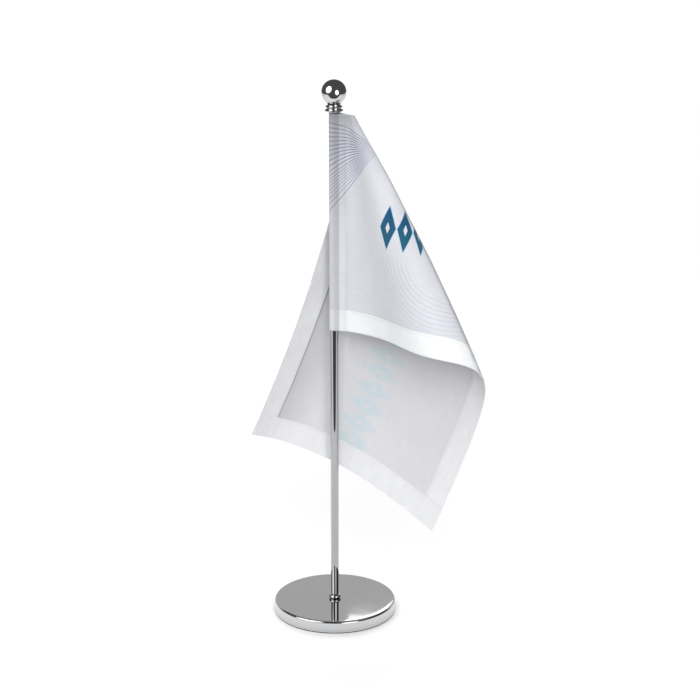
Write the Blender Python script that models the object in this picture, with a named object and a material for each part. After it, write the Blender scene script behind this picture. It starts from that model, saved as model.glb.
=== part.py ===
"""Desk flag stand: a weighted round base, a screwed-in pole with a ball finial, and a small flag on a sleeve.

The frame is +Z up, with the origin at the centre of the pad's underside, where the stand meets the desk.
Sizes are in metres. Change the driving sizes below and the pieces that mate with them follow.
"""

from math import atan2, cos, exp, hypot, pi, radians, sin, sqrt

import bmesh
import bpy
from mathutils import Matrix, Quaternion, Vector

# Clearances
SEAT_GAP = 0.0003  # between faces that rest on each other
THREAD_GAP = 0.0002  # round a screw, measured from its crests

# Base
BASE_DIAMETER = 0.085
BASE_HEIGHT = 0.0088
RIM_RADIUS = 0.0016
COVER_WALL = 0.0008
LIP_HEIGHT = 0.0006  # the cover's lower edge stays this far off the desk
PAD_THICKNESS = 0.0010

# Screw that joins the pole to the base, M4
FOOT_SCREW_RADIUS = 0.0020
FOOT_SCREW_LENGTH = 0.0049  # engaged in the ballast disc
PLUG_LENGTH = 0.0100  # the part of each plug inside the tube

# Pole
POLE_RADIUS = 0.00275
POLE_WALL = 0.0004
POLE_TOP = 0.3570
FOOT_RING_RADIUS = 0.0043
FOOT_RING_HEIGHT = 0.0025

# Finial, screwed in with M3
FINIAL_SCREW_RADIUS = 0.0015
FINIAL_SCREW_LENGTH = 0.0060  # engaged in the tapped plug
BALL_RADIUS = 0.0085
BALL_SEAT_RADIUS = 0.0045  # the flat under the ball, where it sits on the collar
BALL_SOCKET_DEPTH = 0.0050
COLLAR_HEIGHT = 0.0052
COLLAR_LOWER_RADIUS = 0.0062
COLLAR_UPPER_RADIUS = 0.0057
COLLAR_WAIST_RADIUS = 0.0049

# Flag
HOIST = 0.150
FLY = 0.250
CLOTH = 0.0004
SLEEVE_REACH = 0.0090  # from the pole's axis to the seam that closes the sleeve
SLEEVE_EASE = 0.0003  # room between the pole and the sleeve round it
HEM_WIDTH = 0.015
STITCH_INSET = 0.0015  # from a hem's inner edge to its line of stitches
THREAD_RADIUS = 0.00015
THREAD_LIFT = 0.0004  # between a thread and the cloth that it runs along
CLOTH_STEP = 0.006  # between the cloth's lines of points, which its threads share

# How the flag hangs. It curls along straight lines that fan out from one point just above its top edge,
# and the angle of a line is measured from straight down, in radians.
FRONT_TURN = 0.50  # how far the front swings round from +X towards -Y at the sleeve
MEET_UP = 0.0088  # the meeting point, above the top end of the sleeve's seam
FOLD_ANGLE = 0.60  # the line that the big rounded fold follows
FOLD_TURN = -4.27  # how far the cloth turns there
FOLD_SPREAD = 0.21  # how wide the fold is at the top edge
FOLD_SPREAD_LOW = 0.15  # and at SPREAD_REACH below it
SPREAD_REACH = 0.200
FRONT_CURL = 3.7  # how the front curls where it leaves the sleeve
FRONT_CURL_FADE = 8.0
BACK_CURL = 7.8  # and how the back does, past the fold
BACK_CURL_FADE = 8.0
CURL_BUILD = 0.1  # the angle over which the front's curl builds up
CURL_CHANGE = 0.05  # and over which it gives way to the back's
CORNER_DROP = 0.0138  # how far the cloth's slant lets the free corner hang lower
CORNER_SWING = 0.0040  # and swing forwards

ROUND = 32  # flats round a turned piece
BASE_ROUND = 72  # and round the base's pieces
UP = Vector((0, 0, 1))

# Sizes that follow from the ones above
cover_top = BASE_HEIGHT
cover_under = cover_top - COVER_WALL
cover_radius = BASE_DIAMETER / 2
cavity_radius = cover_radius - COVER_WALL
weight_top = cover_under - SEAT_GAP
weight_bottom = PAD_THICKNESS + SEAT_GAP
ring_bottom = cover_top + SEAT_GAP
ring_top = ring_bottom + FOOT_RING_HEIGHT
tube_bottom = ring_top + SEAT_GAP
tube_bore = POLE_RADIUS - POLE_WALL
plug_radius = tube_bore - SEAT_GAP
foot_hole = FOOT_SCREW_RADIUS + THREAD_GAP
web_bottom = POLE_TOP + SEAT_GAP
web_top = web_bottom + CLOTH
collar_bottom = web_top + SEAT_GAP
collar_top = collar_bottom + COLLAR_HEIGHT
ball_bottom = collar_top + SEAT_GAP
ball_centre = ball_bottom + sqrt(BALL_RADIUS**2 - BALL_SEAT_RADIUS**2)
finial_hole = FINIAL_SCREW_RADIUS + THREAD_GAP
front_way = Vector((cos(FRONT_TURN), -sin(FRONT_TURN), 0))


def clear_scene():
    for obj in list(bpy.data.objects):
        bpy.data.objects.remove(obj)


def material(name, colour, roughness, metallic=0.0):
    made = bpy.data.materials.new(name)
    made.use_nodes = True
    shader = made.node_tree.nodes["Principled BSDF"]
    shader.inputs["Base Color"].default_value = (*colour, 1)
    shader.inputs["Roughness"].default_value = roughness
    shader.inputs["Metallic"].default_value = metallic
    return made


def joint_axis(name, height, parent=None):
    """An empty on the pole's axis, which a moving group hangs from."""
    empty = bpy.data.objects.new(name, None)
    bpy.context.scene.collection.objects.link(empty)
    empty.parent = parent
    empty.location = (0, 0, height - (parent.matrix_world.translation.z if parent else 0))
    bpy.context.view_layer.update()
    return empty


def finish(bm, name, finish_material, parent=None, smooth=30):
    """Closes a bmesh into a named object that hangs from its joint's empty."""
    bmesh.ops.recalc_face_normals(bm, faces=bm.faces)
    mesh = bpy.data.meshes.new(name)
    bm.to_mesh(mesh)
    bm.free()
    mesh.materials.append(finish_material)
    mesh.shade_smooth()
    mesh.set_sharp_from_angle(angle=radians(smooth))
    obj = bpy.data.objects.new(name, mesh)
    bpy.context.scene.collection.objects.link(obj)
    if parent:
        obj.parent = parent
        mesh.transform(Matrix.Translation(-parent.matrix_world.translation))
    return obj


def arc(centre, radius, start, end, steps):
    """Points (r, z) of a profile along an arc, with its angles in degrees from +r towards +z."""
    turns = [radians(start + (end - start) * i / steps) for i in range(steps + 1)]
    return [(centre[0] + radius * cos(t), centre[1] + radius * sin(t)) for t in turns]


def turned(name, profile, finish_material, parent=None, flats=ROUND):
    """A closed profile of (r, z) points, spun round the pole's axis."""
    bm = bmesh.new()
    points = [bm.verts.new((r, 0, z)) for r, z in profile]
    edges = [bm.edges.new(pair) for pair in zip(points, points[1:] + points[:1])]
    bmesh.ops.spin(bm, geom=points + edges, cent=(0, 0, 0), axis=UP, angle=2 * pi,
                   steps=flats, use_merge=True)
    bmesh.ops.remove_doubles(bm, verts=bm.verts, dist=1e-6)
    return finish(bm, name, finish_material, parent)


# Base

def make_base(chrome, steel, foam):
    """The pressed cover, the ballast disc inside it, and the foam pad that they stand on."""
    corner = COVER_WALL
    profile = [(foot_hole, cover_top), (foot_hole, cover_under)]
    profile += arc((cavity_radius - corner, cover_under - corner), corner, 90, 0, 2)
    profile += [(cavity_radius, LIP_HEIGHT), (cover_radius, LIP_HEIGHT)]
    profile += arc((cover_radius - RIM_RADIUS, cover_top - RIM_RADIUS), RIM_RADIUS, 0, 90, 5)
    turned("base_cover", profile, chrome, flats=BASE_ROUND)

    rim = cavity_radius - SEAT_GAP
    chamfer = 0.0012
    profile = [(foot_hole, weight_bottom), (rim, weight_bottom), (rim, weight_top - chamfer)]
    profile += [(rim - chamfer, weight_top), (foot_hole, weight_top)]
    turned("base_weight", profile, steel, flats=BASE_ROUND)

    bm = bmesh.new()
    bmesh.ops.create_cone(bm, cap_ends=True, segments=BASE_ROUND, radius1=rim, radius2=rim,
                          depth=PAD_THICKNESS)
    bmesh.ops.translate(bm, verts=bm.verts, vec=UP * PAD_THICKNESS / 2)
    finish(bm, "base_pad", foam)


# Pole

def make_foot_ring(chrome, parent):
    """The round bead between the base and the pole."""
    bulge = FOOT_RING_HEIGHT / 2
    middle = (FOOT_RING_RADIUS - bulge, ring_bottom + bulge)
    profile = [(foot_hole, ring_bottom)] + arc(middle, bulge, -90, 90, 8) + [(foot_hole, ring_top)]
    turned("foot_ring", profile, chrome, parent)


def make_pole(chrome, steel, parent):
    """The tube, the plug and screw in its foot, and the tapped plug in its top."""
    edge = 0.0002
    profile = [(tube_bore, tube_bottom), (POLE_RADIUS - edge, tube_bottom)]
    profile += [(POLE_RADIUS, tube_bottom + edge), (POLE_RADIUS, POLE_TOP - edge)]
    profile += [(POLE_RADIUS - edge, POLE_TOP), (tube_bore, POLE_TOP)]
    turned("pole_tube", profile, chrome, parent)

    tip = weight_top - FOOT_SCREW_LENGTH
    point = 0.0005
    profile = [(0, tip), (FOOT_SCREW_RADIUS - point, tip), (FOOT_SCREW_RADIUS, tip + point)]
    profile += [(FOOT_SCREW_RADIUS, tube_bottom), (plug_radius, tube_bottom)]
    profile += [(plug_radius, tube_bottom + PLUG_LENGTH), (0, tube_bottom + PLUG_LENGTH)]
    turned("foot_stud", profile, steel, parent)

    profile = [(finial_hole, POLE_TOP - PLUG_LENGTH), (plug_radius, POLE_TOP - PLUG_LENGTH)]
    profile += [(plug_radius, POLE_TOP), (finial_hole, POLE_TOP)]
    turned("top_insert", profile, steel, parent)


# Finial

def make_collar(chrome, parent):
    """Two flared skirts, one over the other, with a short neck under the ball."""
    lip = 0.0004
    foot_inset = 0.0006
    half = COLLAR_HEIGHT / 2
    neck = BALL_SEAT_RADIUS
    profile = [(finial_hole, 0), (COLLAR_LOWER_RADIUS - foot_inset, 0)]
    profile += [(COLLAR_LOWER_RADIUS, lip), (COLLAR_LOWER_RADIUS, 2 * lip)]
    profile += [(COLLAR_WAIST_RADIUS, half - lip), (COLLAR_WAIST_RADIUS, half)]
    profile += [(COLLAR_UPPER_RADIUS, half + lip), (COLLAR_UPPER_RADIUS, half + 2 * lip)]
    profile += [(neck, COLLAR_HEIGHT - lip), (neck, COLLAR_HEIGHT), (finial_hole, COLLAR_HEIGHT)]
    profile = [(r, collar_bottom + z) for r, z in profile]
    turned("finial_collar", profile, chrome, parent)


def make_finial(chrome, steel, parent):
    """The ball, and the headless screw fixed in its socket."""
    seat = -90 + 180 / pi * atan2(BALL_SEAT_RADIUS, ball_centre - ball_bottom)
    socket_top = ball_bottom + BALL_SOCKET_DEPTH
    profile = [(0, socket_top), (finial_hole, socket_top), (finial_hole, ball_bottom)]
    profile += arc((0, ball_centre), BALL_RADIUS, seat, 90, 14)
    turned("finial_ball", profile, chrome, parent)

    top = socket_top - SEAT_GAP
    bottom = POLE_TOP - FINIAL_SCREW_LENGTH
    point = 0.0004
    profile = [(0, bottom), (FINIAL_SCREW_RADIUS - point, bottom), (FINIAL_SCREW_RADIUS, bottom + point)]
    profile += [(FINIAL_SCREW_RADIUS, top), (0, top)]
    turned("finial_stud", profile, steel, parent)


# Flag

def curl(angle, spread):
    """How sharply the cloth bends across the fan line at this angle, where the fold has this spread."""
    fold = FOLD_TURN * exp(-0.5 * ((angle - FOLD_ANGLE) / spread) ** 2) / (spread * sqrt(2 * pi))
    past = 1 / (1 + exp(-(angle - FOLD_ANGLE) / CURL_CHANGE))
    started = min(max(angle / CURL_BUILD, 0), 1)
    front = (FRONT_CURL - FRONT_CURL_FADE * angle) * started * (1 - past)
    back = (BACK_CURL - BACK_CURL_FADE * angle) * past
    return fold + front + back


def fan_of_lines(spread, steps=180):
    """Directions in space of the fan's lines, from level inwards to level outwards."""
    step = pi / steps
    lines = [None] * (steps + 1)
    for way in (1, -1):
        line, across = -UP, front_way.copy()
        out = line.cross(across)
        lines[steps // 2] = line.copy()
        for i in range(1, steps // 2 + 1):
            turn = out + line * curl(way * step * (i - 0.5), spread)
            spin = Quaternion(turn.normalized(), way * step * turn.length)
            line, across, out = spin @ line, spin @ across, spin @ out
            lines[steps // 2 + way * i] = line.copy()
    return lines


FAN_REACH = (0.0, 0.06, 0.12, 0.18, 0.30)
FANS = [fan_of_lines(FOLD_SPREAD + (FOLD_SPREAD_LOW - FOLD_SPREAD) * reach / SPREAD_REACH)
        for reach in FAN_REACH]


def hang(out, down):
    """Where a point of the flat flag hangs, from its distance out from the pole's axis and down."""
    reach = hypot(out - SLEEVE_REACH, down + MEET_UP)
    angle = atan2(out - SLEEVE_REACH, down + MEET_UP)
    place = (angle / pi + 0.5) * (len(FANS[0]) - 1)
    i = min(int(place), len(FANS[0]) - 2)
    j = max(k for k in range(len(FAN_REACH) - 1) if FAN_REACH[k] <= reach)
    share = (reach - FAN_REACH[j]) / (FAN_REACH[j + 1] - FAN_REACH[j])
    near = FANS[j][i].lerp(FANS[j][i + 1], place - i)
    far = FANS[j + 1][i].lerp(FANS[j + 1][i + 1], place - i)
    start = front_way * SLEEVE_REACH + UP * (POLE_TOP + MEET_UP)
    sag = (out / FLY) ** 2 * down / HOIST
    slip = Vector((0, -CORNER_SWING, -CORNER_DROP)) * sag
    return start + near.lerp(far, share).normalized() * reach + slip


def hang_face(out, down):
    """The direction that the cloth's printed side faces."""
    nudge = 0.0005
    across = hang(out + nudge, down) - hang(out - nudge, down)
    along = hang(out, down + nudge) - hang(out, down - nudge)
    return along.cross(across).normalized()


def steps_between(start, end):
    """Evenly spaced values from start to end, about a cloth step apart."""
    count = max(round((end - start) / CLOTH_STEP), 1)
    return [start + (end - start) * i / count for i in range(count + 1)]


# The cloth's lines of points, with one under each line of stitches
seam_out = SLEEVE_REACH + SEAT_GAP
stitch_line = HEM_WIDTH - STITCH_INSET
outs = steps_between(seam_out, FLY - stitch_line)[:-1] + steps_between(FLY - stitch_line, FLY)
downs = steps_between(0, stitch_line)[:-1] + steps_between(stitch_line, HOIST - stitch_line)[:-1]
downs += steps_between(HOIST - stitch_line, HOIST)


def make_cloth(white, parent):
    """The cloth from the sleeve's seam to the fly edge, as one thin closed sheet."""
    columns, rows = len(outs) - 1, len(downs) - 1
    bm = bmesh.new()
    bmesh.ops.create_grid(bm, x_segments=columns, y_segments=rows, size=0.5)
    for v in bm.verts:
        v.co = hang(outs[round((v.co.x + 0.5) * columns)], downs[round((0.5 - v.co.y) * rows)])
    obj = finish(bm, "flag_cloth", white, parent, smooth=60)
    wall = obj.modifiers.new("cloth", "SOLIDIFY")
    wall.thickness = CLOTH
    wall.offset = 0
    return obj


def make_sleeve(white, parent):
    """The cloth tube that the pole goes through, drawn together at the seam."""
    inner = POLE_RADIUS + SLEEVE_EASE
    outer = inner + CLOTH
    inner_reach = SLEEVE_REACH - 3 * CLOTH
    bends = 18

    def drop(radius, reach, z):
        """A loop round the pole with straight sides that meet at the seam."""
        touch = pi / 2 - atan2(radius, sqrt(reach**2 - radius**2))
        first, last = touch, 2 * pi - touch
        turns = [first + (last - first) * i / bends for i in range(bends + 1)]
        round_part = [(radius * cos(t), radius * sin(t)) for t in turns]
        side = front_way.cross(UP)
        loop = [(reach, 0)] + round_part
        return [front_way * a + side * b + UP * z for a, b in loop]

    top, bottom = POLE_TOP, POLE_TOP - HOIST
    loops = [drop(outer, SLEEVE_REACH, bottom), drop(outer, SLEEVE_REACH, top)]
    loops += [drop(inner, inner_reach, top), drop(inner, inner_reach, bottom)]
    bm = bmesh.new()
    rings = [[bm.verts.new(p) for p in loop] for loop in loops]
    for a, b in zip(rings, rings[1:] + rings[:1]):
        for i in range(len(a)):
            k = (i + 1) % len(a)
            bm.faces.new((a[i], a[k], b[k], b[i]))
    return finish(bm, "flag_sleeve", white, parent, smooth=50)


def make_top_tack(white, parent):
    """The folded-in end of the sleeve, which sits on the pole's end under the collar and holds the flag up."""
    profile = [(finial_hole, web_bottom), (POLE_RADIUS + SLEEVE_EASE, web_bottom)]
    profile += [(POLE_RADIUS + SLEEVE_EASE, web_top), (finial_hole, web_top)]
    turned("sleeve_end_tack", profile, white, parent)


def make_thread(name, path, thread, parent):
    """A line of stitching, laid along the back of the cloth."""
    curve = bpy.data.curves.new(name, "CURVE")
    curve.dimensions = "3D"
    curve.bevel_depth = THREAD_RADIUS
    curve.bevel_resolution = 0
    curve.use_fill_caps = True
    spline = curve.splines.new("POLY")
    spline.points.add(len(path) - 1)
    lift = CLOTH / 2 + THREAD_LIFT + THREAD_RADIUS
    for point, (out, down) in zip(spline.points, path):
        place = hang(out, down) - hang_face(out, down) * lift - parent.matrix_world.translation
        point.co = (*place, 1)
    curve.materials.append(thread)
    obj = bpy.data.objects.new(name, curve)
    bpy.context.scene.collection.objects.link(obj)
    obj.parent = parent
    return obj


def make_stitching(thread, parent):
    """The lines of stitches: down the sleeve's seam, and along the inner edge of each hem."""
    across = [out for out in outs if out < FLY - stitch_line][1:]
    make_thread("seam_thread", [(outs[1], down) for down in downs[1:-1]], thread, parent)
    make_thread("top_hem_thread", [(out, stitch_line) for out in across[1:]], thread, parent)
    make_thread("bottom_hem_thread", [(out, HOIST - stitch_line) for out in across[1:]], thread, parent)
    make_thread("fly_hem_thread", [(FLY - stitch_line, down) for down in downs[1:-1]], thread, parent)


def make_flag(white, thread, parent):
    make_cloth(white, parent)
    make_sleeve(white, parent)
    make_top_tack(white, parent)
    make_stitching(thread, parent)


def main():
    clear_scene()
    chrome = material("chrome", (0.72, 0.72, 0.73), 0.06, 1.0)
    steel = material("steel", (0.45, 0.45, 0.46), 0.35, 1.0)
    foam = material("pad_foam", (0.03, 0.03, 0.03), 0.9)
    white = material("flag_cloth", (0.86, 0.87, 0.9), 0.6)
    thread = material("thread", (0.85, 0.85, 0.87), 0.5)

    foot_axis = joint_axis("foot_axis", cover_top)
    pole_axis = joint_axis("pole_axis", tube_bottom, foot_axis)
    collar_axis = joint_axis("collar_axis", collar_bottom, pole_axis)
    finial_axis = joint_axis("finial_axis", ball_bottom, collar_axis)
    flag_axis = joint_axis("flag_axis", POLE_TOP, pole_axis)

    make_base(chrome, steel, foam)
    make_foot_ring(chrome, foot_axis)
    make_pole(chrome, steel, pole_axis)
    make_collar(chrome, collar_axis)
    make_finial(chrome, steel, finial_axis)
    make_flag(white, thread, flag_axis)


main()
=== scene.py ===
"""Looks of the desk flag stand: chromed base, pole, collar and ball, and a printed flag hung by its sewn pocket."""

from math import atan2, cos, exp, hypot, pi, radians, sin, sqrt

import bmesh
import bpy
from mathutils import Matrix, Quaternion, Vector, noise


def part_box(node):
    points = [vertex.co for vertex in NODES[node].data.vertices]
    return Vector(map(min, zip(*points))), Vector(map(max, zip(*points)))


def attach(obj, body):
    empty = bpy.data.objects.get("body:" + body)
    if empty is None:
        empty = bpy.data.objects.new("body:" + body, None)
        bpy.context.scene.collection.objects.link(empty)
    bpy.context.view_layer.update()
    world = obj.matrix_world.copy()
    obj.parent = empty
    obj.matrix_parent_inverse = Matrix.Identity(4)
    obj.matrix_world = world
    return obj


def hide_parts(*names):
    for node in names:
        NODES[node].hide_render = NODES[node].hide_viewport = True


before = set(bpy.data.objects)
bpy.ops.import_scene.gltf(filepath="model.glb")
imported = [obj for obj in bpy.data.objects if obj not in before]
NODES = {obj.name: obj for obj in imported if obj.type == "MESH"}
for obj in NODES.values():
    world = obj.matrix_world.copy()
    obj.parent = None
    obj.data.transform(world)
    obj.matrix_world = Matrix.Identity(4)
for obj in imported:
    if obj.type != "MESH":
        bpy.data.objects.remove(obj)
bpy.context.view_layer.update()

UP = Vector((0, 0, 1))

# Base, pole and finial
RIM_RADIUS = 0.0016
COVER_WALL = 0.0008
SCREW_HOLE = 0.0022  # through the cover and the ring
COLLAR_WAIST = 0.0049
COLLAR_UPPER_LIP = 0.0057
SEAT_GAP = 0.0003

# Flag, flat
HOIST = 0.150
FLY = 0.250
SLEEVE_REACH = 0.0090  # from the pole's axis to the seam that closes the pocket
HEM = 0.015
STITCH_INSET = 0.0015
PANEL_CLOTH = 0.00018
HEM_CLOTH = 0.00034  # the cloth turned under once, lying behind the panel
STITCH = 0.0021
STITCH_SPACING = 0.0029
THREAD_RADIUS = 0.00013

# How the flag hangs: straight lines fan out from one point just above its top edge
FRONT_TURN = 0.50
MEET_UP = 0.0088
FOLD_ANGLE = 0.60
FOLD_TURN = -4.27
FOLD_SPREAD = 0.21
FOLD_SPREAD_LOW = 0.15
SPREAD_REACH = 0.200
FRONT_CURL = 3.7
FRONT_CURL_FADE = 8.0
BACK_CURL = 7.8
BACK_CURL_FADE = 8.0
CORNER_DROP = 0.0138
CORNER_SWING = 0.0040
front_way = Vector((cos(FRONT_TURN), -sin(FRONT_TURN), 0))
pole_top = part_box("pole_tube")[1].z

# The flat flag is laid on its map with the pocket's margin at the left
MAP_MARGIN = 0.03
MAP_SIZE = 0.30


# Meshes

def piece_from(bm, name, finishes, body, replaced, smooth=40, recalc=True):
    """Turns a bmesh into a finished piece that rides on a body."""
    if recalc:
        bmesh.ops.recalc_face_normals(bm, faces=bm.faces)
    mesh = bpy.data.meshes.new(name)
    bm.to_mesh(mesh)
    bm.free()
    mesh.shade_smooth()
    mesh.set_sharp_from_angle(angle=radians(smooth))
    for finish in finishes:
        mesh.materials.append(finish)
    obj = bpy.data.objects.new(name, mesh)
    bpy.context.scene.collection.objects.link(obj)
    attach(obj, body)
    if replaced:
        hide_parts(*replaced)
    return obj


def arc(centre, radius, start, end, steps):
    """Profile points (r, z) along an arc, with angles in degrees from +r towards +z."""
    turns = [radians(start + (end - start) * i / steps) for i in range(steps + 1)]
    return [(centre[0] + radius * cos(t), centre[1] + radius * sin(t)) for t in turns]


def sweep(start, pull, end, steps=8):
    """Profile points along a curve from start to end that leans towards pull."""
    shares = [i / steps for i in range(steps + 1)]
    return [tuple((1 - t) ** 2 * a + 2 * t * (1 - t) * b + t * t * c for a, b, c in zip(start, pull, end))
            for t in shares]


def spin_profile(bm, profile, flats):
    """Spins a closed profile of (r, z) points round the pole's axis."""
    points = [bm.verts.new((r, 0, z)) for r, z in profile]
    edges = [bm.edges.new(pair) for pair in zip(points, points[1:] + points[:1])]
    bmesh.ops.spin(bm, geom=points + edges, cent=(0, 0, 0), axis=UP, angle=2 * pi, steps=flats,
                   use_merge=True)
    bmesh.ops.remove_doubles(bm, verts=bm.verts, dist=1e-6)


def add_thread(bm, crest, pitch, bottom, top, flats=28):
    """Winds a rolled screw thread on a shank, from bottom to top."""
    root = crest - 0.62 * pitch
    turns = (top - bottom) / pitch - 1
    steps = round(turns * flats)
    section = [(root, bottom), (crest, bottom + 0.42 * pitch), (crest, bottom + 0.50 * pitch), (root, bottom + 0.92 * pitch)]
    points = [bm.verts.new((r, 0, z)) for r, z in section]
    edges = [bm.edges.new(pair) for pair in zip(points, points[1:] + points[:1])]
    bmesh.ops.spin(bm, geom=points + edges, cent=(0, 0, 0), axis=UP, dvec=UP * pitch / flats,
                   angle=2 * pi * steps / flats, steps=steps)
    bmesh.ops.holes_fill(bm, edges=[e for e in bm.edges if e.is_boundary], sides=4)


# Nodes

def put(tree, kind, inputs=None, **settings):
    """Adds a shader node; an input given a socket is linked to it."""
    made = tree.nodes.new("ShaderNode" + kind)
    for name, value in settings.items():
        setattr(made, name, value)
    for socket, value in (inputs or {}).items():
        if isinstance(value, bpy.types.NodeSocket):
            tree.links.new(value, made.inputs[socket])
        else:
            made.inputs[socket].default_value = value
    return made


def calc(tree, operation, *values):
    """One step of arithmetic on sockets and numbers."""
    return put(tree, "Math", dict(enumerate(values)), operation=operation).outputs[0]


def ramp(tree, value, start, end, low=0.0, high=1.0):
    """Runs smoothly from low to high as value goes from start to end."""
    made = put(tree, "MapRange", {"Value": value, "From Min": start, "From Max": end,
                                  "To Min": low, "To Max": high}, interpolation_type="SMOOTHSTEP")
    return made.outputs["Result"]


def blend_colour(tree, share, under, over):
    """Lays one colour over another."""
    made = put(tree, "Mix", data_type="RGBA")
    for socket, value in ((made.inputs["Factor"], share), (made.inputs[6], under), (made.inputs[7], over)):
        if isinstance(value, bpy.types.NodeSocket):
            tree.links.new(value, socket)
        else:
            socket.default_value = value
    return made.outputs[2]


def grey(value, tint=0.0):
    return (value - tint, value, value + tint, 1)


def group(name, ins, outs):
    """A node group with its named inputs and outputs; returns the tree, its input and its output node."""
    tree = bpy.data.node_groups.new(name, "ShaderNodeTree")
    for label, kind, value in ins:
        socket = tree.interface.new_socket(label, in_out="INPUT", socket_type="NodeSocket" + kind)
        if value is not None:
            socket.default_value = value
    for label, kind in outs:
        tree.interface.new_socket(label, in_out="OUTPUT", socket_type="NodeSocket" + kind)
    return tree, tree.nodes.new("NodeGroupInput"), tree.nodes.new("NodeGroupOutput")


def use(tree, made_group, inputs=None):
    """Places a node group in a material."""
    node = put(tree, "Group", node_tree=made_group)
    for socket, value in (inputs or {}).items():
        if isinstance(value, bpy.types.NodeSocket):
            tree.links.new(value, node.inputs[socket])
        else:
            node.inputs[socket].default_value = value
    return node.outputs


def shader_of(name, **values):
    """A new material, its tree and its Principled shader, with plain values set on the shader."""
    made = bpy.data.materials.new(name)
    made.use_nodes = True
    shader = made.node_tree.nodes["Principled BSDF"]
    for label, value in values.items():
        shader.inputs[label.replace("_", " ")].default_value = value
    return made, made.node_tree, shader


def bump(tree, shader, height, distance, strength=1.0):
    made = put(tree, "Bump", {"Height": height, "Distance": distance, "Strength": strength})
    tree.links.new(made.outputs["Normal"], shader.inputs["Normal"])


def object_place(tree):
    return put(tree, "TexCoord").outputs["Object"]


# Effects that several finishes share

def make_handling_group():
    """Faint smears and specks left by hands and dust on polished metal."""
    tree, given, out = group("handling", [("Place", "Vector", None), ("Size", "Float", 60.0)],
                             [("Smear", "Float"), ("Speck", "Float")])
    smear = put(tree, "TexNoise", {"Vector": given.outputs["Place"], "Scale": given.outputs["Size"],
                                   "Detail": 4.0, "Roughness": 0.62})
    tree.links.new(ramp(tree, smear.outputs["Fac"], 0.42, 0.72), out.inputs["Smear"])
    speck = put(tree, "TexNoise", {"Vector": given.outputs["Place"], "Scale": 2600.0, "Detail": 2.0})
    tree.links.new(ramp(tree, speck.outputs["Fac"], 0.62, 0.74), out.inputs["Speck"])
    return tree


def make_turning_group():
    """Fine lathe rings round the vertical axis and along it."""
    tree, given, out = group("turning", [("Place", "Vector", None), ("Pitch", "Float", 0.0002)],
                             [("Ring", "Float")])
    split = put(tree, "SeparateXYZ", {0: given.outputs["Place"]}).outputs
    radius = calc(tree, "SQRT", calc(tree, "ADD", calc(tree, "MULTIPLY", split[0], split[0]),
                                     calc(tree, "MULTIPLY", split[1], split[1])))
    along = calc(tree, "ADD", radius, split[2])
    wave = calc(tree, "SINE", calc(tree, "MULTIPLY", calc(tree, "DIVIDE", along, given.outputs["Pitch"]), 2 * pi))
    wander = put(tree, "TexNoise", {"Vector": given.outputs["Place"], "Scale": 900.0, "Detail": 3.0})
    tree.links.new(calc(tree, "ADD", calc(tree, "MULTIPLY", wave, 0.5), wander.outputs["Fac"]), out.inputs["Ring"])
    return tree


def make_flat_place_group():
    """Flat flag measurements in metres, from the piece's map: out from the pole, and down from the top edge."""
    tree, given, out = group("flat_place", [("Map", "Vector", None)],
                             [("Out", "Float"), ("Down", "Float"), ("Place", "Vector")])
    split = put(tree, "SeparateXYZ", {0: given.outputs["Map"]}).outputs
    across = calc(tree, "SUBTRACT", calc(tree, "MULTIPLY", split[0], MAP_SIZE), MAP_MARGIN)
    down = calc(tree, "MULTIPLY", split[1], MAP_SIZE)
    place = put(tree, "CombineXYZ", {"X": across, "Y": down}).outputs[0]
    for label, socket in (("Out", across), ("Down", down), ("Place", place)):
        tree.links.new(socket, out.inputs[label])
    return tree


def make_weave_group():
    """Plain weave of fine filament threads, with slubs."""
    tree, given, out = group("weave", [("Place", "Vector", None), ("Pitch", "Float", 0.00032)],
                             [("Height", "Float"), ("Shade", "Float")])
    split = put(tree, "SeparateXYZ", {0: given.outputs["Place"]}).outputs
    phase = [calc(tree, "MULTIPLY", calc(tree, "DIVIDE", s, given.outputs["Pitch"]), pi) for s in split[:2]]
    warp = calc(tree, "ABSOLUTE", calc(tree, "SINE", phase[0]))
    weft = calc(tree, "ABSOLUTE", calc(tree, "SINE", phase[1]))
    over = calc(tree, "MULTIPLY", calc(tree, "COSINE", phase[0]), calc(tree, "COSINE", phase[1]))
    lifted = calc(tree, "MULTIPLY", calc(tree, "ADD", over, 1.0), 0.5)
    threads = calc(tree, "ADD", calc(tree, "MULTIPLY", warp, lifted),
                   calc(tree, "MULTIPLY", weft, calc(tree, "SUBTRACT", 1.0, lifted)))
    slub_place = put(tree, "Mapping", {"Vector": given.outputs["Place"], "Scale": (90.0, 1500.0, 1.0)}).outputs[0]
    slub = put(tree, "TexNoise", {"Vector": slub_place, "Scale": 1.0, "Detail": 2.0}).outputs["Fac"]
    height = calc(tree, "ADD", threads, calc(tree, "MULTIPLY", slub, 0.5))
    tree.links.new(height, out.inputs["Height"])
    tree.links.new(ramp(tree, slub, 0.35, 0.7, 0.955, 1.0), out.inputs["Shade"])
    return tree


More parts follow.
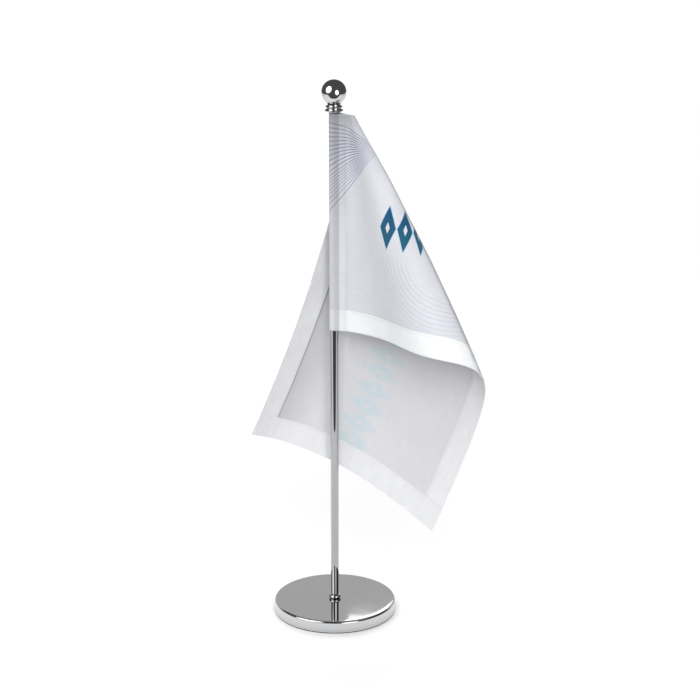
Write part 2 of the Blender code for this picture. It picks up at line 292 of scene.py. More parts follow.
def make_print_group():
    """The flag's print as three masks: the fan of fine lines, the faint arcs, and the row of upright diamonds."""
    fan_middle = (0.0335, 0.0235)
    arc_middle = (0.088, 0.083)
    row_down, row_start, row_pitch, row_end = 0.071, 0.0395, 0.0124, 0.238
    tree, given, out = group("flag_print", [("Out", "Float", 0.0), ("Down", "Float", 0.0)],
                             [("Fan", "Float"), ("Arcs", "Float"), ("Row", "Float"), ("Row Edge", "Float"),
                              ("Border", "Float")])
    across, down = given.outputs["Out"], given.outputs["Down"]

    def polar(middle):
        x = calc(tree, "SUBTRACT", middle[0], across)
        y = calc(tree, "SUBTRACT", down, middle[1])
        reach = calc(tree, "SQRT", calc(tree, "ADD", calc(tree, "MULTIPLY", x, x), calc(tree, "MULTIPLY", y, y)))
        return calc(tree, "ARCTAN2", x, y), reach

    turn, reach = polar(fan_middle)
    bent = calc(tree, "ADD", turn, calc(tree, "MULTIPLY", reach, ramp(tree, turn, 0.67, 1.20, 0.0, 9.0)))
    spacing = 0.088
    near_line = calc(tree, "PINGPONG", bent, spacing / 2)
    distance = calc(tree, "MULTIPLY", near_line, calc(tree, "MAXIMUM", reach, 0.004))
    line = calc(tree, "MINIMUM", ramp(tree, distance, 0.00018, 0.00044, 1.0, 0.0),
                ramp(tree, near_line, spacing * 0.10, spacing * 0.26, 1.0, 0.0))
    sector = calc(tree, "MULTIPLY", ramp(tree, bent, 0.655, 0.665), ramp(tree, bent, 2.38, 2.46, 1.0, 0.0))
    ends = calc(tree, "MULTIPLY", ramp(tree, reach, 0.002, 0.012, 0.4, 1.0), ramp(tree, reach, 0.052, 0.075, 1.0, 0.0))
    fan = calc(tree, "MULTIPLY", calc(tree, "MULTIPLY", line, sector), ends)
    tree.links.new(fan, out.inputs["Fan"])

    turn, reach = polar(arc_middle)
    near_arc = calc(tree, "PINGPONG", calc(tree, "ADD", reach, calc(tree, "MULTIPLY", turn, 0.0011)), 0.0015)
    ring = ramp(tree, near_arc, 0.0001, 0.0005, 1.0, 0.0)
    band = calc(tree, "MULTIPLY", ramp(tree, reach, 0.024, 0.032), ramp(tree, reach, 0.046, 0.056, 1.0, 0.0))
    arcs = calc(tree, "MULTIPLY", calc(tree, "MULTIPLY", ring, band), ramp(tree, down, 0.087, 0.096))
    tree.links.new(arcs, out.inputs["Arcs"])

    step = calc(tree, "SUBTRACT", across, row_start)
    beside = calc(tree, "ABSOLUTE", calc(tree, "SUBTRACT", calc(tree, "MODULO", step, row_pitch), row_pitch / 2))
    above = calc(tree, "ABSOLUTE", calc(tree, "SUBTRACT", down, row_down))
    size = calc(tree, "ADD", calc(tree, "DIVIDE", beside, 0.0058), calc(tree, "DIVIDE", above, 0.0148))
    in_row = calc(tree, "MULTIPLY", calc(tree, "GREATER_THAN", across, row_start),
                  calc(tree, "LESS_THAN", across, row_end))
    hollow = ramp(tree, size, 0.24, 0.28)
    for label, edge in (("Row", 0.96), ("Row Edge", 1.08)):
        mark = calc(tree, "MULTIPLY", calc(tree, "MULTIPLY", ramp(tree, size, edge, edge + 0.05, 1.0, 0.0), in_row), hollow)
        tree.links.new(mark, out.inputs[label])

    border = calc(tree, "MAXIMUM", ramp(tree, across, FLY - HEM - 0.0002, FLY - HEM + 0.0002),
                  ramp(tree, down, HOIST - HEM - 0.0002, HOIST - HEM + 0.0002))
    tree.links.new(border, out.inputs["Border"])
    return tree


handling = make_handling_group()
turning = make_turning_group()
flat_place = make_flat_place_group()
weave = make_weave_group()
flag_print = make_print_group()


# Finishes

def make_chrome(name, tone, polish):
    """Bright plating with faint smears, and tiny specks of dust."""
    made, tree, shader = shader_of(name, Metallic=1.0)
    marks = use(tree, handling, {"Place": object_place(tree)})
    tree.links.new(blend_colour(tree, marks["Speck"], grey(tone, 0.004), grey(tone * 0.93)), shader.inputs["Base Color"])
    rough = calc(tree, "ADD", calc(tree, "MULTIPLY", marks["Smear"], 0.02), polish)
    tree.links.new(calc(tree, "ADD", rough, calc(tree, "MULTIPLY", marks["Speck"], 0.05)), shader.inputs["Roughness"])
    return made


def make_turned_steel():
    """Plain machined steel with lathe rings."""
    made, tree, shader = shader_of("turned_steel", Metallic=1.0)
    place = object_place(tree)
    ring = use(tree, turning, {"Place": place, "Pitch": 0.00022})["Ring"]
    marks = use(tree, handling, {"Place": place, "Size": 90.0})
    tree.links.new(blend_colour(tree, marks["Smear"], grey(0.46, 0.01), grey(0.36)), shader.inputs["Base Color"])
    tree.links.new(ramp(tree, marks["Smear"], 0.0, 1.0, 0.30, 0.46), shader.inputs["Roughness"])
    bump(tree, shader, ring, 0.00001, 0.6)
    return made


def make_foam():
    """Dark cellular foam."""
    made, tree, shader = shader_of("pad_foam", Specular_IOR_Level=0.2)
    place = object_place(tree)
    cells = put(tree, "TexVoronoi", {"Vector": place, "Scale": 1800.0})
    tone = blend_colour(tree, ramp(tree, cells.outputs["Distance"], 0.15, 0.6), grey(0.012), grey(0.045))
    tree.links.new(tone, shader.inputs["Base Color"])
    tree.links.new(ramp(tree, cells.outputs["Distance"], 0.0, 0.6, 0.95, 0.8), shader.inputs["Roughness"])
    bump(tree, shader, cells.outputs["Distance"], 0.0002)
    return made


FIELD = (0.612, 0.622, 0.656, 1)
FIELD_CLOUD = (0.634, 0.642, 0.684, 1)
# Painted shade: the back's ground is the face's field made dimmer, standing for the shade on the cloth's back.
SHADED_BACK_FIELD = (0.560, 0.562, 0.585, 1)
SHADED_BACK_CLOUD = (0.575, 0.575, 0.600, 1)
WHITE = (0.835, 0.855, 0.875, 1)
# Painted shade: the turned hems are the same cloth as the white border, made dimmer for the shade on the cloth's back.
SHADED_HEM_WHITE = (0.705, 0.708, 0.728, 1)


def make_cloth_finish(name, field, cloud_tone, ink_strength, show_strength, over_pole=False, hem_shadow=0.0):
    """Thin printed polyester: full ink on the face, and a pale mirrored ghost of it behind. Painted shade darkens the
    cloth towards its top edge, and hem_shadow paints a shadow line inside the top hem's edge. Off the pocket, painted
    shade darkens grazing angles; on the pocket, it darkens a band from the pole towards the seam and the top further."""
    made, tree, shader = shader_of(name, Sheen_Weight=0.03, Sheen_Roughness=0.4, Specular_IOR_Level=0.25,
                                   Subsurface_Weight=0.35, Subsurface_Scale=0.0006, Subsurface_Radius=(1, 1, 1))
    flat = use(tree, flat_place, {"Map": put(tree, "UVMap", uv_map="cut").outputs[0]})
    threads = use(tree, weave, {"Place": flat["Place"]})
    marks = use(tree, flag_print, {"Out": flat["Out"], "Down": flat["Down"]})
    cloud = put(tree, "TexNoise", {"Vector": flat["Place"], "Scale": 38.0, "Detail": 3.0}).outputs["Fac"]
    ground = blend_colour(tree, ramp(tree, cloud, 0.35, 0.7), field, cloud_tone)
    ground = blend_colour(tree, calc(tree, "MULTIPLY", marks["Border"], 0.4 if over_pole else 1.0), ground, WHITE)
    inked = blend_colour(tree, calc(tree, "MULTIPLY", marks["Arcs"], 0.55 * ink_strength), ground, (0.42, 0.44, 0.56, 1))
    inked = blend_colour(tree, calc(tree, "MULTIPLY", marks["Fan"], 0.80 * ink_strength), inked, (0.12, 0.14, 0.32, 1))
    inked = blend_colour(tree, calc(tree, "MULTIPLY", marks["Row Edge"], 0.7 * ink_strength), inked, (0.42, 0.58, 0.78, 1))
    depth = ramp(tree, flat["Down"], 0.057, 0.085)
    row_ink = blend_colour(tree, depth, (0.010, 0.075, 0.165, 1), (0.014, 0.100, 0.160, 1))
    inked = blend_colour(tree, calc(tree, "MULTIPLY", marks["Row"], ink_strength), inked, row_ink)
    inked = blend_colour(tree, calc(tree, "MULTIPLY", marks["Row"], show_strength), inked, (0.40, 0.62, 0.64, 1))
    # Painted shadow: a thin dark line just inside the top hem's inner edge, standing for the shadow its edge casts.
    gap = calc(tree, "MULTIPLY", ramp(tree, flat["Down"], HEM - 0.0004, HEM + 0.0001),
               ramp(tree, flat["Down"], HEM + 0.0003, HEM + 0.0012, hem_shadow, 0.0))
    inked = blend_colour(tree, gap, inked, (0.08, 0.08, 0.09, 1))
    # Painted shade: the cloth is darkened towards its top edge.
    painted_top_shade = calc(tree, "ADD", ramp(tree, flat["Down"], 0.0, 0.012, 0.22, 0.0),
                   ramp(tree, flat["Down"], 0.010, 0.045, 0.22, 0.0))
    inked = blend_colour(tree, painted_top_shade, inked, (0.10, 0.10, 0.11, 1))
    if over_pole:
        # Painted shade on the pocket: a band from the pole towards the seam, and the cloth darkened towards its top.
        beside = calc(tree, "MULTIPLY", ramp(tree, flat["Out"], -0.0035, 0.0026),
                      ramp(tree, flat["Out"], 0.0036, 0.0052, 1.0, 0.0))
        painted_pocket_shade = calc(tree, "ADD", calc(tree, "MULTIPLY", beside, 0.34), ramp(tree, flat["Down"], 0.04, 0.10, 0.14, 0.0))
        inked = blend_colour(tree, painted_pocket_shade, inked, (0.10, 0.11, 0.12, 1))
    else:
        # Painted shade: the cloth darkens at grazing angles, where it turns away from the view.
        facing = put(tree, "LayerWeight", {"Blend": 0.5}).outputs["Facing"]
        inked = blend_colour(tree, ramp(tree, facing, 0.45, 0.92, 0.0, 0.75), inked, (0.13, 0.13, 0.15, 1))
    shaded = put(tree, "VectorMath", {0: inked, "Scale": threads["Shade"]}, operation="SCALE").outputs[0]
    tree.links.new(shaded, shader.inputs["Base Color"])
    tree.links.new(ramp(tree, threads["Height"], 0.2, 1.4, 0.62, 0.48), shader.inputs["Roughness"])
    bump(tree, shader, threads["Height"], 0.00004, 0.5)
    return made


def make_hem_finish(name, tone):
    """Unprinted cloth of the turned hems."""
    made, tree, shader = shader_of(name, Sheen_Weight=0.03, Sheen_Roughness=0.4, Specular_IOR_Level=0.25,
                                   Subsurface_Weight=0.35, Subsurface_Scale=0.0006, Subsurface_Radius=(1, 1, 1))
    flat = use(tree, flat_place, {"Map": put(tree, "UVMap", uv_map="cut").outputs[0]})
    threads = use(tree, weave, {"Place": flat["Place"], "Pitch": 0.00032})
    cloud = put(tree, "TexNoise", {"Vector": flat["Place"], "Scale": 120.0, "Detail": 3.0}).outputs["Fac"]
    ground = blend_colour(tree, ramp(tree, cloud, 0.3, 0.75), tone, tuple(0.96 * c for c in tone[:3]) + (1,))
    shaded = put(tree, "VectorMath", {0: ground, "Scale": threads["Shade"]}, operation="SCALE").outputs[0]
    tree.links.new(shaded, shader.inputs["Base Color"])
    tree.links.new(ramp(tree, threads["Height"], 0.2, 1.4, 0.62, 0.48), shader.inputs["Roughness"])
    bump(tree, shader, threads["Height"], 0.00004, 0.5)
    return made


def make_sewing_thread():
    """Twisted sewing thread, with its plies slanting round it."""
    made, tree, shader = shader_of("sewing_thread", Sheen_Weight=0.2, Specular_IOR_Level=0.4)
    place = object_place(tree)
    plies = put(tree, "TexWave", {"Vector": place, "Scale": 1500.0, "Distortion": 1.5}, bands_direction="DIAGONAL")
    tree.links.new(blend_colour(tree, plies.outputs["Fac"], grey(0.50, 0.01), grey(0.70, 0.01)), shader.inputs["Base Color"])
    tree.links.new(ramp(tree, plies.outputs["Fac"], 0.0, 1.0, 0.6, 0.45), shader.inputs["Roughness"])
    bump(tree, shader, plies.outputs["Fac"], 0.00003)
    return made


chrome = make_chrome("bright_chrome", 0.60, 0.030)
# Painted shade: the pole's chrome is a dimmed copy of the bright chrome, which dims what it reflects.
shaded_pole_chrome = make_chrome("shaded_pole_chrome", 0.43, 0.030)
steel = make_turned_steel()
foam = make_foam()
face_cloth = make_cloth_finish("flag_face", FIELD, FIELD_CLOUD, 1.0, 0.0)
# The back's dimmed ground is painted shade.
back_cloth = make_cloth_finish("flag_back", SHADED_BACK_FIELD, SHADED_BACK_CLOUD, 0.05, 0.28, hem_shadow=0.6)
pocket_cloth = make_cloth_finish("pocket_cloth", FIELD, FIELD_CLOUD, 1.0, 0.0, over_pole=True)
# The hems' dimmed white is painted shade.
hem_cloth = make_hem_finish("hem_cloth", SHADED_HEM_WHITE)
thread = make_sewing_thread()


# Base

def make_base():
    """The pressed cover with its rounded rim and thin wall, and the foam pad under it."""
    low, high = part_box("base_cover")
    radius, top, bottom = high.x, high.z, low.z
    inner, under = radius - COVER_WALL, top - COVER_WALL
    bm = bmesh.new()
    profile = [(SCREW_HOLE, top - 0.0001), (SCREW_HOLE, under)]
    profile += arc((inner - COVER_WALL, under - COVER_WALL), COVER_WALL, 90, 0, 6)
    profile += [(inner, bottom + 0.0001), (inner + 0.0001, bottom), (radius - 0.0001, bottom), (radius, bottom + 0.0001)]
    profile += arc((radius - RIM_RADIUS, top - RIM_RADIUS), RIM_RADIUS, 0, 90, 14)
    profile += [(radius * share, top) for share in (0.9, 0.75, 0.5, 0.25)] + [(SCREW_HOLE + 0.0001, top)]
    spin_profile(bm, profile, 240)
    piece_from(bm, "base_shell", [chrome], "base", ["base_cover"])

    low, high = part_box("base_pad")
    edge, squeezed = 0.0001, radius - 0.0003
    under_lip = bottom - 0.00005
    profile = [(0, low.z)] + arc((squeezed - edge, low.z + edge), edge, -90, 0, 3)
    profile += arc((squeezed - edge, under_lip - edge), edge, 0, 90, 3)
    profile += [(high.x, under_lip), (high.x, high.z - edge), (high.x - edge, high.z), (0, high.z)]
    bm = bmesh.new()
    spin_profile(bm, profile, 180)
    pad = piece_from(bm, "foam_pad", [foam], "base", ["base_pad"])
    NODES["base_weight"].material_slots[0].material = steel


# Pole

def make_ring():
    low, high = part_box("foot_ring")
    bulge = (high.z - low.z) / 2
    middle = (high.x - bulge, low.z + bulge)
    bm = bmesh.new()
    spin_profile(bm, [(SCREW_HOLE, low.z)] + arc(middle, bulge, -90, 90, 20) + [(SCREW_HOLE, high.z)], 96)
    piece_from(bm, "pole_ring", [chrome], "foot", ["foot_ring"])


def make_pole():
    """The thin tube, the plug and screw in its foot, and the tapped plug in its top."""
    low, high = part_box("pole_tube")
    radius, bore = high.x, high.x - 0.0004
    edge = 0.00018
    bm = bmesh.new()
    profile = [(bore, low.z)] + arc((radius - edge, low.z + edge), edge, -90, 0, 4)
    profile += arc((radius - edge, high.z - edge), edge, 0, 90, 4) + [(bore, high.z)]
    spin_profile(bm, profile, 96)
    # The shaft takes the dimmed chrome copy: painted shade.
    piece_from(bm, "pole_shaft", [shaded_pole_chrome], "pole", ["pole_tube"])

    low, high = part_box("foot_stud")
    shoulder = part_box("pole_tube")[0].z
    crest, plug, pitch = 0.0020, high.x, 0.0007
    root = crest - 0.6 * pitch
    bm = bmesh.new()
    profile = [(0, low.z), (root - 0.0004, low.z), (root, low.z + 0.0004), (root, shoulder - 0.0005)]
    profile += [(crest, shoulder), (plug - 0.0002, shoulder), (plug, shoulder + 0.0002)]
    profile += [(plug, high.z - 0.0004), (plug - 0.0004, high.z), (0, high.z)]
    spin_profile(bm, profile, 64)
    add_thread(bm, crest, pitch, low.z + 0.0002, shoulder - 0.0005)
    piece_from(bm, "foot_screw", [steel], "pole", ["foot_stud"], smooth=35)
    NODES["top_insert"].material_slots[0].material = steel


# Finial

def make_collar():
    """Two flared skirts, one over the other, drawn in to a neck under the ball."""
    low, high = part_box("finial_collar")
    lip = high.x
    height = high.z - low.z
    neck = 0.0045
    hole = 0.0017
    round_off = 0.00022
    half = height / 2
    profile = [(hole, 0), (lip - 0.0012, 0)]
    profile += sweep((lip - 0.0012, 0), (lip - 0.0005, 0.00015), (lip - round_off, 0.0005), 4)[1:]
    profile += arc((lip - round_off, 0.0005 + round_off), round_off, -60, 80, 6)
    profile += sweep((lip - 0.0004, 0.00095), (COLLAR_WAIST, 0.0011), (COLLAR_WAIST, half - 0.0002))
    upper = COLLAR_UPPER_LIP
    profile += sweep((COLLAR_WAIST, half), (upper - 0.0004, half + 0.0001), (upper - round_off, half + 0.0004), 4)
    profile += arc((upper - round_off, half + 0.0004 + round_off), round_off, -60, 80, 6)
    profile += sweep((upper - 0.0004, half + 0.00085), (neck, half + 0.0010), (neck, height - 0.0004))
    profile += [(neck, height), (hole, height)]
    bm = bmesh.new()
    spin_profile(bm, [(r, low.z + z) for r, z in profile], 96)
    piece_from(bm, "flared_collar", [chrome], "collar", ["finial_collar"])


def make_ball():
    low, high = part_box("finial_ball")
    radius = high.x
    middle = high.z - radius
    seat = -90 + 180 / pi * atan2(sqrt(radius**2 - (middle - low.z) ** 2), middle - low.z)
    hole, socket = 0.0017, low.z + 0.0050
    bm = bmesh.new()
    profile = [(0, socket), (hole, socket), (hole, low.z)] + arc((0, middle), radius, seat, 90, 64)
    spin_profile(bm, profile, 128)
    piece_from(bm, "ball_knob", [chrome], "finial", ["finial_ball"])

    low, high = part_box("finial_stud")
    crest, pitch = high.x, 0.0005
    root = crest - 0.6 * pitch
    bm = bmesh.new()
    profile = [(0, low.z), (root - 0.0003, low.z), (root, low.z + 0.0003), (root, high.z - 0.0002), (root - 0.0002, high.z), (0, high.z)]
    spin_profile(bm, profile, 56)
    add_thread(bm, crest, pitch, low.z + 0.0002, high.z - 0.0004)
    piece_from(bm, "finial_screw", [steel], "finial", ["finial_stud"], smooth=35)


# Flag

def curl(angle, spread):
    """How sharply the cloth bends across the fan line at this angle, where the fold has this spread."""
    fold = FOLD_TURN * exp(-0.5 * ((angle - FOLD_ANGLE) / spread) ** 2) / (spread * sqrt(2 * pi))
    past = 1 / (1 + exp(-(angle - FOLD_ANGLE) / 0.05))
    started = min(max(angle / 0.1, 0), 1)
    front = (FRONT_CURL - FRONT_CURL_FADE * angle) * started * (1 - past)
    back = (BACK_CURL - BACK_CURL_FADE * angle) * past
    return fold + front + back


def fan_of_lines(spread, steps=180):
    """Directions in space of the fan's lines, from level inwards to level outwards."""
    step = pi / steps
    lines = [None] * (steps + 1)
    for way in (1, -1):
        line, across = -UP, front_way.copy()
        out = line.cross(across)
        lines[steps // 2] = line.copy()
        for i in range(1, steps // 2 + 1):
            turn = out + line * curl(way * step * (i - 0.5), spread)
            spin = Quaternion(turn.normalized(), way * step * turn.length)
            line, across, out = spin @ line, spin @ across, spin @ out
            lines[steps // 2 + way * i] = line.copy()
    return lines


FAN_REACH = (0.0, 0.06, 0.12, 0.18, 0.30)
FANS = [fan_of_lines(FOLD_SPREAD + (FOLD_SPREAD_LOW - FOLD_SPREAD) * reach / SPREAD_REACH)
        for reach in FAN_REACH]


def hang(out, down):
    """Where a point of the flat flag hangs, from its distance out from the pole's axis and down."""
    reach = hypot(out - SLEEVE_REACH, down + MEET_UP)
    angle = atan2(out - SLEEVE_REACH, down + MEET_UP)
    place = (angle / pi + 0.5) * (len(FANS[0]) - 1)
    i = min(int(place), len(FANS[0]) - 2)
    j = max(k for k in range(len(FAN_REACH) - 1) if FAN_REACH[k] <= reach)
    share = (reach - FAN_REACH[j]) / (FAN_REACH[j + 1] - FAN_REACH[j])
    near = FANS[j][i].lerp(FANS[j][i + 1], place - i)
    far = FANS[j + 1][i].lerp(FANS[j + 1][i + 1], place - i)
    start = front_way * SLEEVE_REACH + UP * (pole_top + MEET_UP)
    sag = (out / FLY) ** 2 * down / HOIST
    slip = Vector((0, -CORNER_SWING, -CORNER_DROP)) * sag
    return start + near.lerp(far, share).normalized() * reach + slip


def hang_face(out, down):
    """The direction that the cloth's printed side faces."""
    d = 0.0005
    across = hang(out + d, down) - hang(out - d, down)
    along = hang(out, down + d) - hang(out, down - d)
    return along.cross(across).normalized()


def ease(value, start, end):
    """0 before start, 1 after end, and smooth between them."""
    share = min(max((value - start) / (end - start), 0), 1)
    return share * share * (3 - 2 * share)


def ripple(out, down):
    """Small creases: soft ones all over, and puckers where the stitches draw the hems in."""
    soft = noise.noise(Vector((out * 45, down * 28, 0.3))) * 0.00030
    fine = noise.noise(Vector((out * 160, down * 120, 4.1))) * 0.00008
    low, high = ease(down, HEM + 0.004, HEM), ease(down, HOIST - HEM - 0.004, HOIST - HEM)
    side = ease(out, FLY - HEM - 0.004, FLY - HEM)
    pucker = noise.noise(Vector((out * 240, 0.5, 7.0))) * max(low, high) * 0.00012
    pucker += noise.noise(Vector((0.5, down * 240, 9.0))) * side * 0.00012
    return (soft + fine + pucker) * ease(out, SLEEVE_REACH, SLEEVE_REACH + 0.012)


def on_flag(out, down, lift=0.0):
    """A point on the hung flag, lifted off its middle towards its printed side."""
    return hang(out, down) + hang_face(out, down) * (lift + ripple(out, down))


def lay_grid(columns, rows, place, map_place):
    """A grid bent so that each (across, down) share from 0 to 1 goes to its place, with its flat map."""
    bm = bmesh.new()
    bmesh.ops.create_grid(bm, x_segments=columns, y_segments=rows, size=0.5)
    chart = bm.loops.layers.uv.new("cut")
    for face in bm.faces:
        for loop in face.loops:
            out, down = map_place(loop.vert.co.x + 0.5, 0.5 - loop.vert.co.y)
            loop[chart].uv = ((out + MAP_MARGIN) / MAP_SIZE, down / MAP_SIZE)
    for v in bm.verts:
        v.co = place(v.co.x + 0.5, 0.5 - v.co.y)
    return bm


def thicken(obj, wall, back=0):
    """Gives a bent sheet its thickness, with another finish on its back where asked."""
    made = obj.modifiers.new("cloth", "SOLIDIFY")
    made.thickness, made.offset = wall, 0
    made.material_offset = back
    graph = bpy.context.evaluated_depsgraph_get()
    solid = bpy.data.meshes.new_from_object(obj.evaluated_get(graph))
    obj.modifiers.clear()
    obj.data = solid
    return obj


def make_panel():
    """The flag's single layer, from the pocket's seam to the fly edge."""
    start = SLEEVE_REACH - 0.0008

    def flat(across, down):
        return start + (FLY - start) * across, HOIST * down

    bm = lay_grid(200, 120, lambda a, d: on_flag(*flat(a, d)), flat)
    panel = piece_from(bm, "flag_panel", [face_cloth, back_cloth], "flag", ["flag_cloth"], smooth=180, recalc=False)
    return thicken(panel, PANEL_CLOTH, back=1)


def hem_section(share):
    """(inwards from the edge, behind the panel) round the hem's cross-section, as shares of its width and wall."""
    turn = share * 2 * pi
    flat = abs(cos(turn)) ** 0.25 * (1 if cos(turn) > 0 else -1)
    return 0.5 + 0.5 * flat, 0.5 + 0.5 * sin(turn)


def make_hem(name, along_to_flat, length, crossing=0.0):
    """A strip of cloth turned over behind the panel's edge. along_to_flat gives (out, down) from the distance
    along the edge and inwards from it; crossing lifts its ends over the hems that it meets."""
    gap = 0.00006

    def place(around, along):
        inwards, behind = hem_section(around)
        over = max(ease(along * length, HEM + 0.004, HEM), ease((1 - along) * length, HEM + 0.004, HEM)) * crossing
        lift = PANEL_CLOTH / 2 + gap + over + HEM_CLOTH * behind
        out, down = along_to_flat(along * length, inwards * HEM)
        return on_flag(out, down, -lift)

    def flat(around, along):
        return along_to_flat(along * length, hem_section(around)[0] * HEM)

    bm = lay_grid(32, round(length / 0.0014), place, flat)
    bmesh.ops.remove_doubles(bm, verts=bm.verts, dist=2e-6)
    bmesh.ops.holes_fill(bm, edges=[e for e in bm.edges if e.is_boundary])
    return piece_from(bm, name, [hem_cloth], "flag", [], smooth=60)


def sew(name, route, replaced, back=0.0, sleeve=()):
    """A row of lockstitches along a route of (out, down) points, showing on both sides of the cloth."""
    bm = bmesh.new()
    (out0, down0), (out1, down1) = route
    length = hypot(out1 - out0, down1 - down0)
    count = int(length / STITCH_SPACING)
    for i in range(count):
        ends = [(i * STITCH_SPACING + end) / length for end in (0, STITCH)]
        places = [(out0 + (out1 - out0) * t, down0 + (down1 - down0) * t) for t in ends]
        for side, clear in ((1, PANEL_CLOTH / 2), (-1, PANEL_CLOTH / 2 + back)):
            lift = side * (clear + THREAD_RADIUS * 0.7)
            one, two = (on_flag(o, d, lift) for o, d in places)
            add_stitch(bm, one, two, hang_face(*places[0]))
    for one, two, face in sleeve:
        add_stitch(bm, one, two, face)
    return piece_from(bm, name, [thread], "flag", replaced, smooth=80)


def add_stitch(bm, one, two, face):
    along = (two - one).normalized()
    side = face.cross(along).normalized()
    flat = along.cross(side)
    middle = (one + two) / 2
    half = (two - one).length / 2
    frame_of = Matrix((along * half, side * THREAD_RADIUS, flat * THREAD_RADIUS)).transposed().to_4x4()
    bmesh.ops.create_uvsphere(bm, u_segments=6, v_segments=5, radius=1,
                              matrix=Matrix.Translation(middle) @ frame_of @ Matrix.Rotation(pi / 2, 4, "Y"))


SLEEVE_EASE = 0.0003
sleeve_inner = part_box("pole_tube")[1].x + SLEEVE_EASE
sleeve_middle = sleeve_inner + 0.0002
side_way = front_way.cross(UP)


def on_sleeve(round_share, down, lift=0.0):
    """A point on the pocket: 0 and 1 are the two sides of its seam, and 0.5 is the pole's far side from it."""
    radius = sleeve_middle
    straight = sqrt(SLEEVE_REACH**2 - radius**2)
    touch = atan2(straight, radius)
    bend = radius * (2 * pi - 2 * touch)
    total = 2 * straight + bend
    s = round_share * total
    if straight < s < straight + bend:
        turn = touch + (s - straight) / radius
        way = front_way * cos(turn) + side_way * sin(turn)
        place, face = way * radius, way
    else:
        first = s <= straight
        share = s / straight if first else (total - s) / straight
        turn = touch if first else -touch
        face = front_way * cos(turn) + side_way * sin(turn)
        place = front_way * SLEEVE_REACH * (1 - share) + face * radius * share
    slack = noise.noise(Vector((round_share * 9, down * 70, 2.0))) * 0.00008
    slack += noise.noise(Vector((round_share * 3, down * 260, 5.0))) * 0.00005
    return place + face * (slack + lift) + UP * (pole_top - down), face, min(s, total - s)


def make_sleeve():
    """The pocket round the pole."""
    def place(around, down):
        return on_sleeve(around, HOIST * down)[0]

    def flat(around, down):
        return SLEEVE_REACH - on_sleeve(around, HOIST * down)[2], HOIST * down

    bm = lay_grid(64, 140, place, flat)
    sleeve = piece_from(bm, "flag_pocket", [pocket_cloth], "flag", ["flag_sleeve"], smooth=180, recalc=False)
    return thicken(sleeve, 0.00030)


def make_pocket_end():
    low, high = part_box("sleeve_end_tack")
    radius, hole, edge = high.x, 0.0017, 0.00012
    bm = bmesh.new()
    profile = [(hole, low.z)] + arc((radius - edge, low.z + edge), edge, -90, 0, 4)
    profile += arc((radius - edge, high.z - edge), edge, 0, 90, 4) + [(hole, high.z)]
    spin_profile(bm, profile, 64)
    chart = bm.loops.layers.uv.new("cut")
    for face in bm.faces:
        for loop in face.loops:
            loop[chart].uv = ((loop.vert.co.x + MAP_MARGIN) / MAP_SIZE, (loop.vert.co.y + MAP_MARGIN) / MAP_SIZE)
    return piece_from(bm, "pocket_end", [hem_cloth], "flag", ["sleeve_end_tack"])


def make_flag():
    panel = make_panel()
    start = SLEEVE_REACH + SEAT_GAP
    span = FLY - start
    top = make_hem("top_hem", lambda s, w: (start + s, w), span)
    bottom = make_hem("bottom_hem", lambda s, w: (start + s, HOIST - w), span)
    fly = make_hem("fly_hem", lambda s, w: (FLY - w, s), HOIST, crossing=HEM_CLOTH + 0.0001)
    sleeve = make_sleeve()
    end = make_pocket_end()

    line = HEM - STITCH_INSET
    low_row = []
    steps = 9
    for i in range(steps):
        shares = [(i + end_share) / steps for end_share in (0.1, 0.85)]
        points = [on_sleeve(0.02 + 0.96 * share, HOIST - line, 0.00022) for share in shares]
        low_row.append((points[0][0], points[1][0], points[0][1]))
    back = HEM_CLOTH + 0.0001
    rows = [sew("seam_stitches", [(start + 0.0012, 0.002), (start + 0.0012, HOIST - 0.001)], ["seam_thread"]),
            sew("top_stitches", [(start + 0.003, line), (FLY - 0.001, line)], ["top_hem_thread"], back),
            sew("bottom_stitches", [(start + 0.003, HOIST - line), (FLY - 0.001, HOIST - line)], ["bottom_hem_thread"],
                back, low_row),
            sew("fly_stitches", [(FLY - line, 0.001), (FLY - line, HOIST - 0.001)], ["fly_hem_thread"], back)]


# Studio

def emissive(name, strength, colour=(1, 1, 1, 1)):
    made = bpy.data.materials.new(name)
    made.use_nodes = True
    tree = made.node_tree
    tree.nodes.remove(tree.nodes["Principled BSDF"])
    glow = put(tree, "Emission", {"Color": colour, "Strength": strength})
    tree.links.new(glow.outputs[0], tree.nodes["Material Output"].inputs["Surface"])
    return made


def stage_piece(bm, name, finish, seen):
    """Makes a piece of the studio; one that isn't seen shows only in the chrome."""
    mesh = bpy.data.meshes.new(name)
    bm.to_mesh(mesh)
    bm.free()
    mesh.materials.append(finish)
    obj = bpy.data.objects.new(name, mesh)
    bpy.context.scene.collection.objects.link(obj)
    obj.visible_camera = obj.visible_diffuse = obj.visible_shadow = seen


def panel_at(name, middle, towards, width, height, finish, round_panel=False):
    """A flat panel at a place, facing a point, that shows only in the chrome."""
    bm = bmesh.new()
    if round_panel:
        bmesh.ops.create_circle(bm, cap_ends=True, segments=48, radius=0.5)
    else:
        bmesh.ops.create_grid(bm, x_segments=1, y_segments=1, size=0.5)
    facing = (Vector(towards) - Vector(middle)).to_track_quat("Z", "Y").to_matrix().to_4x4()
    bmesh.ops.transform(bm, verts=bm.verts,
                        matrix=Matrix.Translation(middle) @ facing @ Matrix.Diagonal((width, height, 1, 1)))
    stage_piece(bm, name, finish, False)


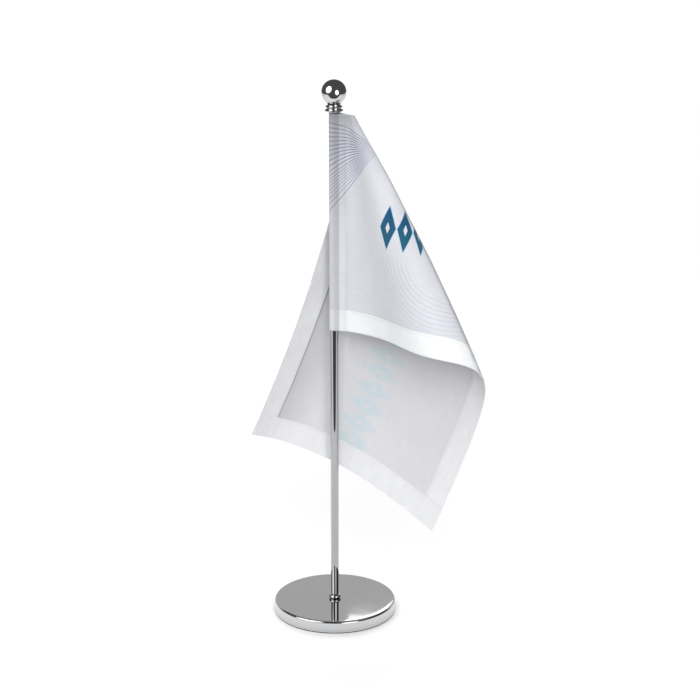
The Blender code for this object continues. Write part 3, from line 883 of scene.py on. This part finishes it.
def area_lamp(name, middle, towards, width, height, watts):
    """A soft lamp that lights the scene but isn't seen in the chrome."""
    data = bpy.data.lights.new(name, "AREA")
    data.shape = "RECTANGLE"
    data.size, data.size_y, data.energy = width, height, watts
    lamp = bpy.data.objects.new(name, data)
    bpy.context.scene.collection.objects.link(lamp)
    lamp.location = middle
    lamp.rotation_euler = (Vector(middle) - Vector(towards)).to_track_quat("Z", "Y").to_euler()
    lamp.visible_glossy = False
    lamp.visible_camera = False
    return lamp


NOTCH_REACH = 0.32  # from the pole to the notch in the table's front edge
NOTCH_DEPTH = 0.85
NOTCH_HALF_ANGLE = 54
NOTCH_STEPS = 18
TABLE_BACK = 6.0
TABLE_HALF = 1.6
LEFT_WAY = Vector((-0.708, -0.475, 0.525))
RIGHT_WAY = Vector((0.466, -0.870, 0.169))


def make_table():
    """The white table, with a notch cut in it in front of the stand, which the chrome shows as a dark streak."""
    made, tree, shader = shader_of("table_white", Roughness=0.9, Specular_IOR_Level=0.0)
    shader.inputs["Base Color"].default_value = (0.775, 0.775, 0.78, 1)
    outline = []
    for i in range(-NOTCH_STEPS, NOTCH_STEPS + 1):
        turn = radians(NOTCH_HALF_ANGLE * i / NOTCH_STEPS)
        reach = NOTCH_REACH + NOTCH_DEPTH * (i / NOTCH_STEPS) ** 6
        outline.append((reach * sin(turn), -reach * cos(turn)))
    front = outline[-1][1]
    outline += [(TABLE_HALF, front), (TABLE_HALF, TABLE_BACK), (-TABLE_HALF, TABLE_BACK), (-TABLE_HALF, front)]
    bm = bmesh.new()
    bm.faces.new([bm.verts.new((x, y, 0)) for x, y in outline])
    stage_piece(bm, "table", made, True)


def make_room():
    """Dark beyond the table for what the chrome shows, and white for the view past the table."""
    world = bpy.data.worlds.new("studio")
    bpy.context.scene.world = world
    world.use_nodes = True
    tree = world.node_tree
    tree.nodes.clear()
    path = put(tree, "LightPath").outputs
    direct = path["Is Camera Ray"]
    dim = calc(tree, "ADD", calc(tree, "MULTIPLY", path["Is Glossy Ray"], 0.045), 0.05)
    dark = put(tree, "Background", {"Color": (1, 1, 1, 1), "Strength": dim})
    pale = put(tree, "Background", {"Color": (1, 1, 1, 1), "Strength": 1.1})
    mixed = put(tree, "MixShader", {0: direct, 1: dark.outputs[0], 2: pale.outputs[0]})
    put(tree, "OutputWorld", {"Surface": mixed.outputs[0]})


def make_studio():
    make_table()
    make_room()
    aim = Vector((0, 0, 0.25))
    left, right = aim + LEFT_WAY * 1.3, aim + RIGHT_WAY * 1.6
    panel_at("grey_backdrop", (0, 3.2, 2.2), (0, 0, 2.2), 9.0, 3.9, emissive("backdrop_grey", 0.56))
    panel_at("bright_panel", (0.22, 1.5, 1.10), (0.22, 0, 1.10), 0.40, 0.80, emissive("panel_white", 2.2))
    panel_at("dark_card", (0, 0.35, 0.58), (0, 0, 0.58), 1.0, 0.44, emissive("card_black", 0.095))
    panel_at("left_softbox", left, aim, 1.25, 1.35, emissive("left_glow", 2.6), round_panel=True)
    panel_at("right_softbox", right, aim, 0.95, 1.25, emissive("right_glow", 2.4), round_panel=True)
    area_lamp("left_lamp", left, aim, 1.2, 1.2, 4.6)
    area_lamp("right_lamp", right, aim, 0.9, 1.1, 3.0)
    area_lamp("top_lamp", (0, 0.1, 1.8), (0, 0.1, 0), 2.4, 2.4, 28)
    area_lamp("front_lamp", (0.1, -1.95, 1.2), aim, 1.8, 1.6, 44)
    area_lamp("far_lamp", (0, 3.0, 2.4), (0, 3.0, 0), 5.0, 3.0, 128)


def make_camera():
    data = bpy.data.cameras.new("view")
    data.lens = 115.2
    camera = bpy.data.objects.new("view", data)
    camera.location = (0, -1.461, 0.653)
    camera.rotation_euler = (radians(72.5), 0, radians(-0.417))
    bpy.context.scene.collection.objects.link(camera)
    bpy.context.scene.camera = camera


make_base()
make_ring()
make_pole()
make_collar()
make_ball()
make_flag()
make_studio()
make_camera()
bpy.context.scene.view_settings.view_transform = "Standard"
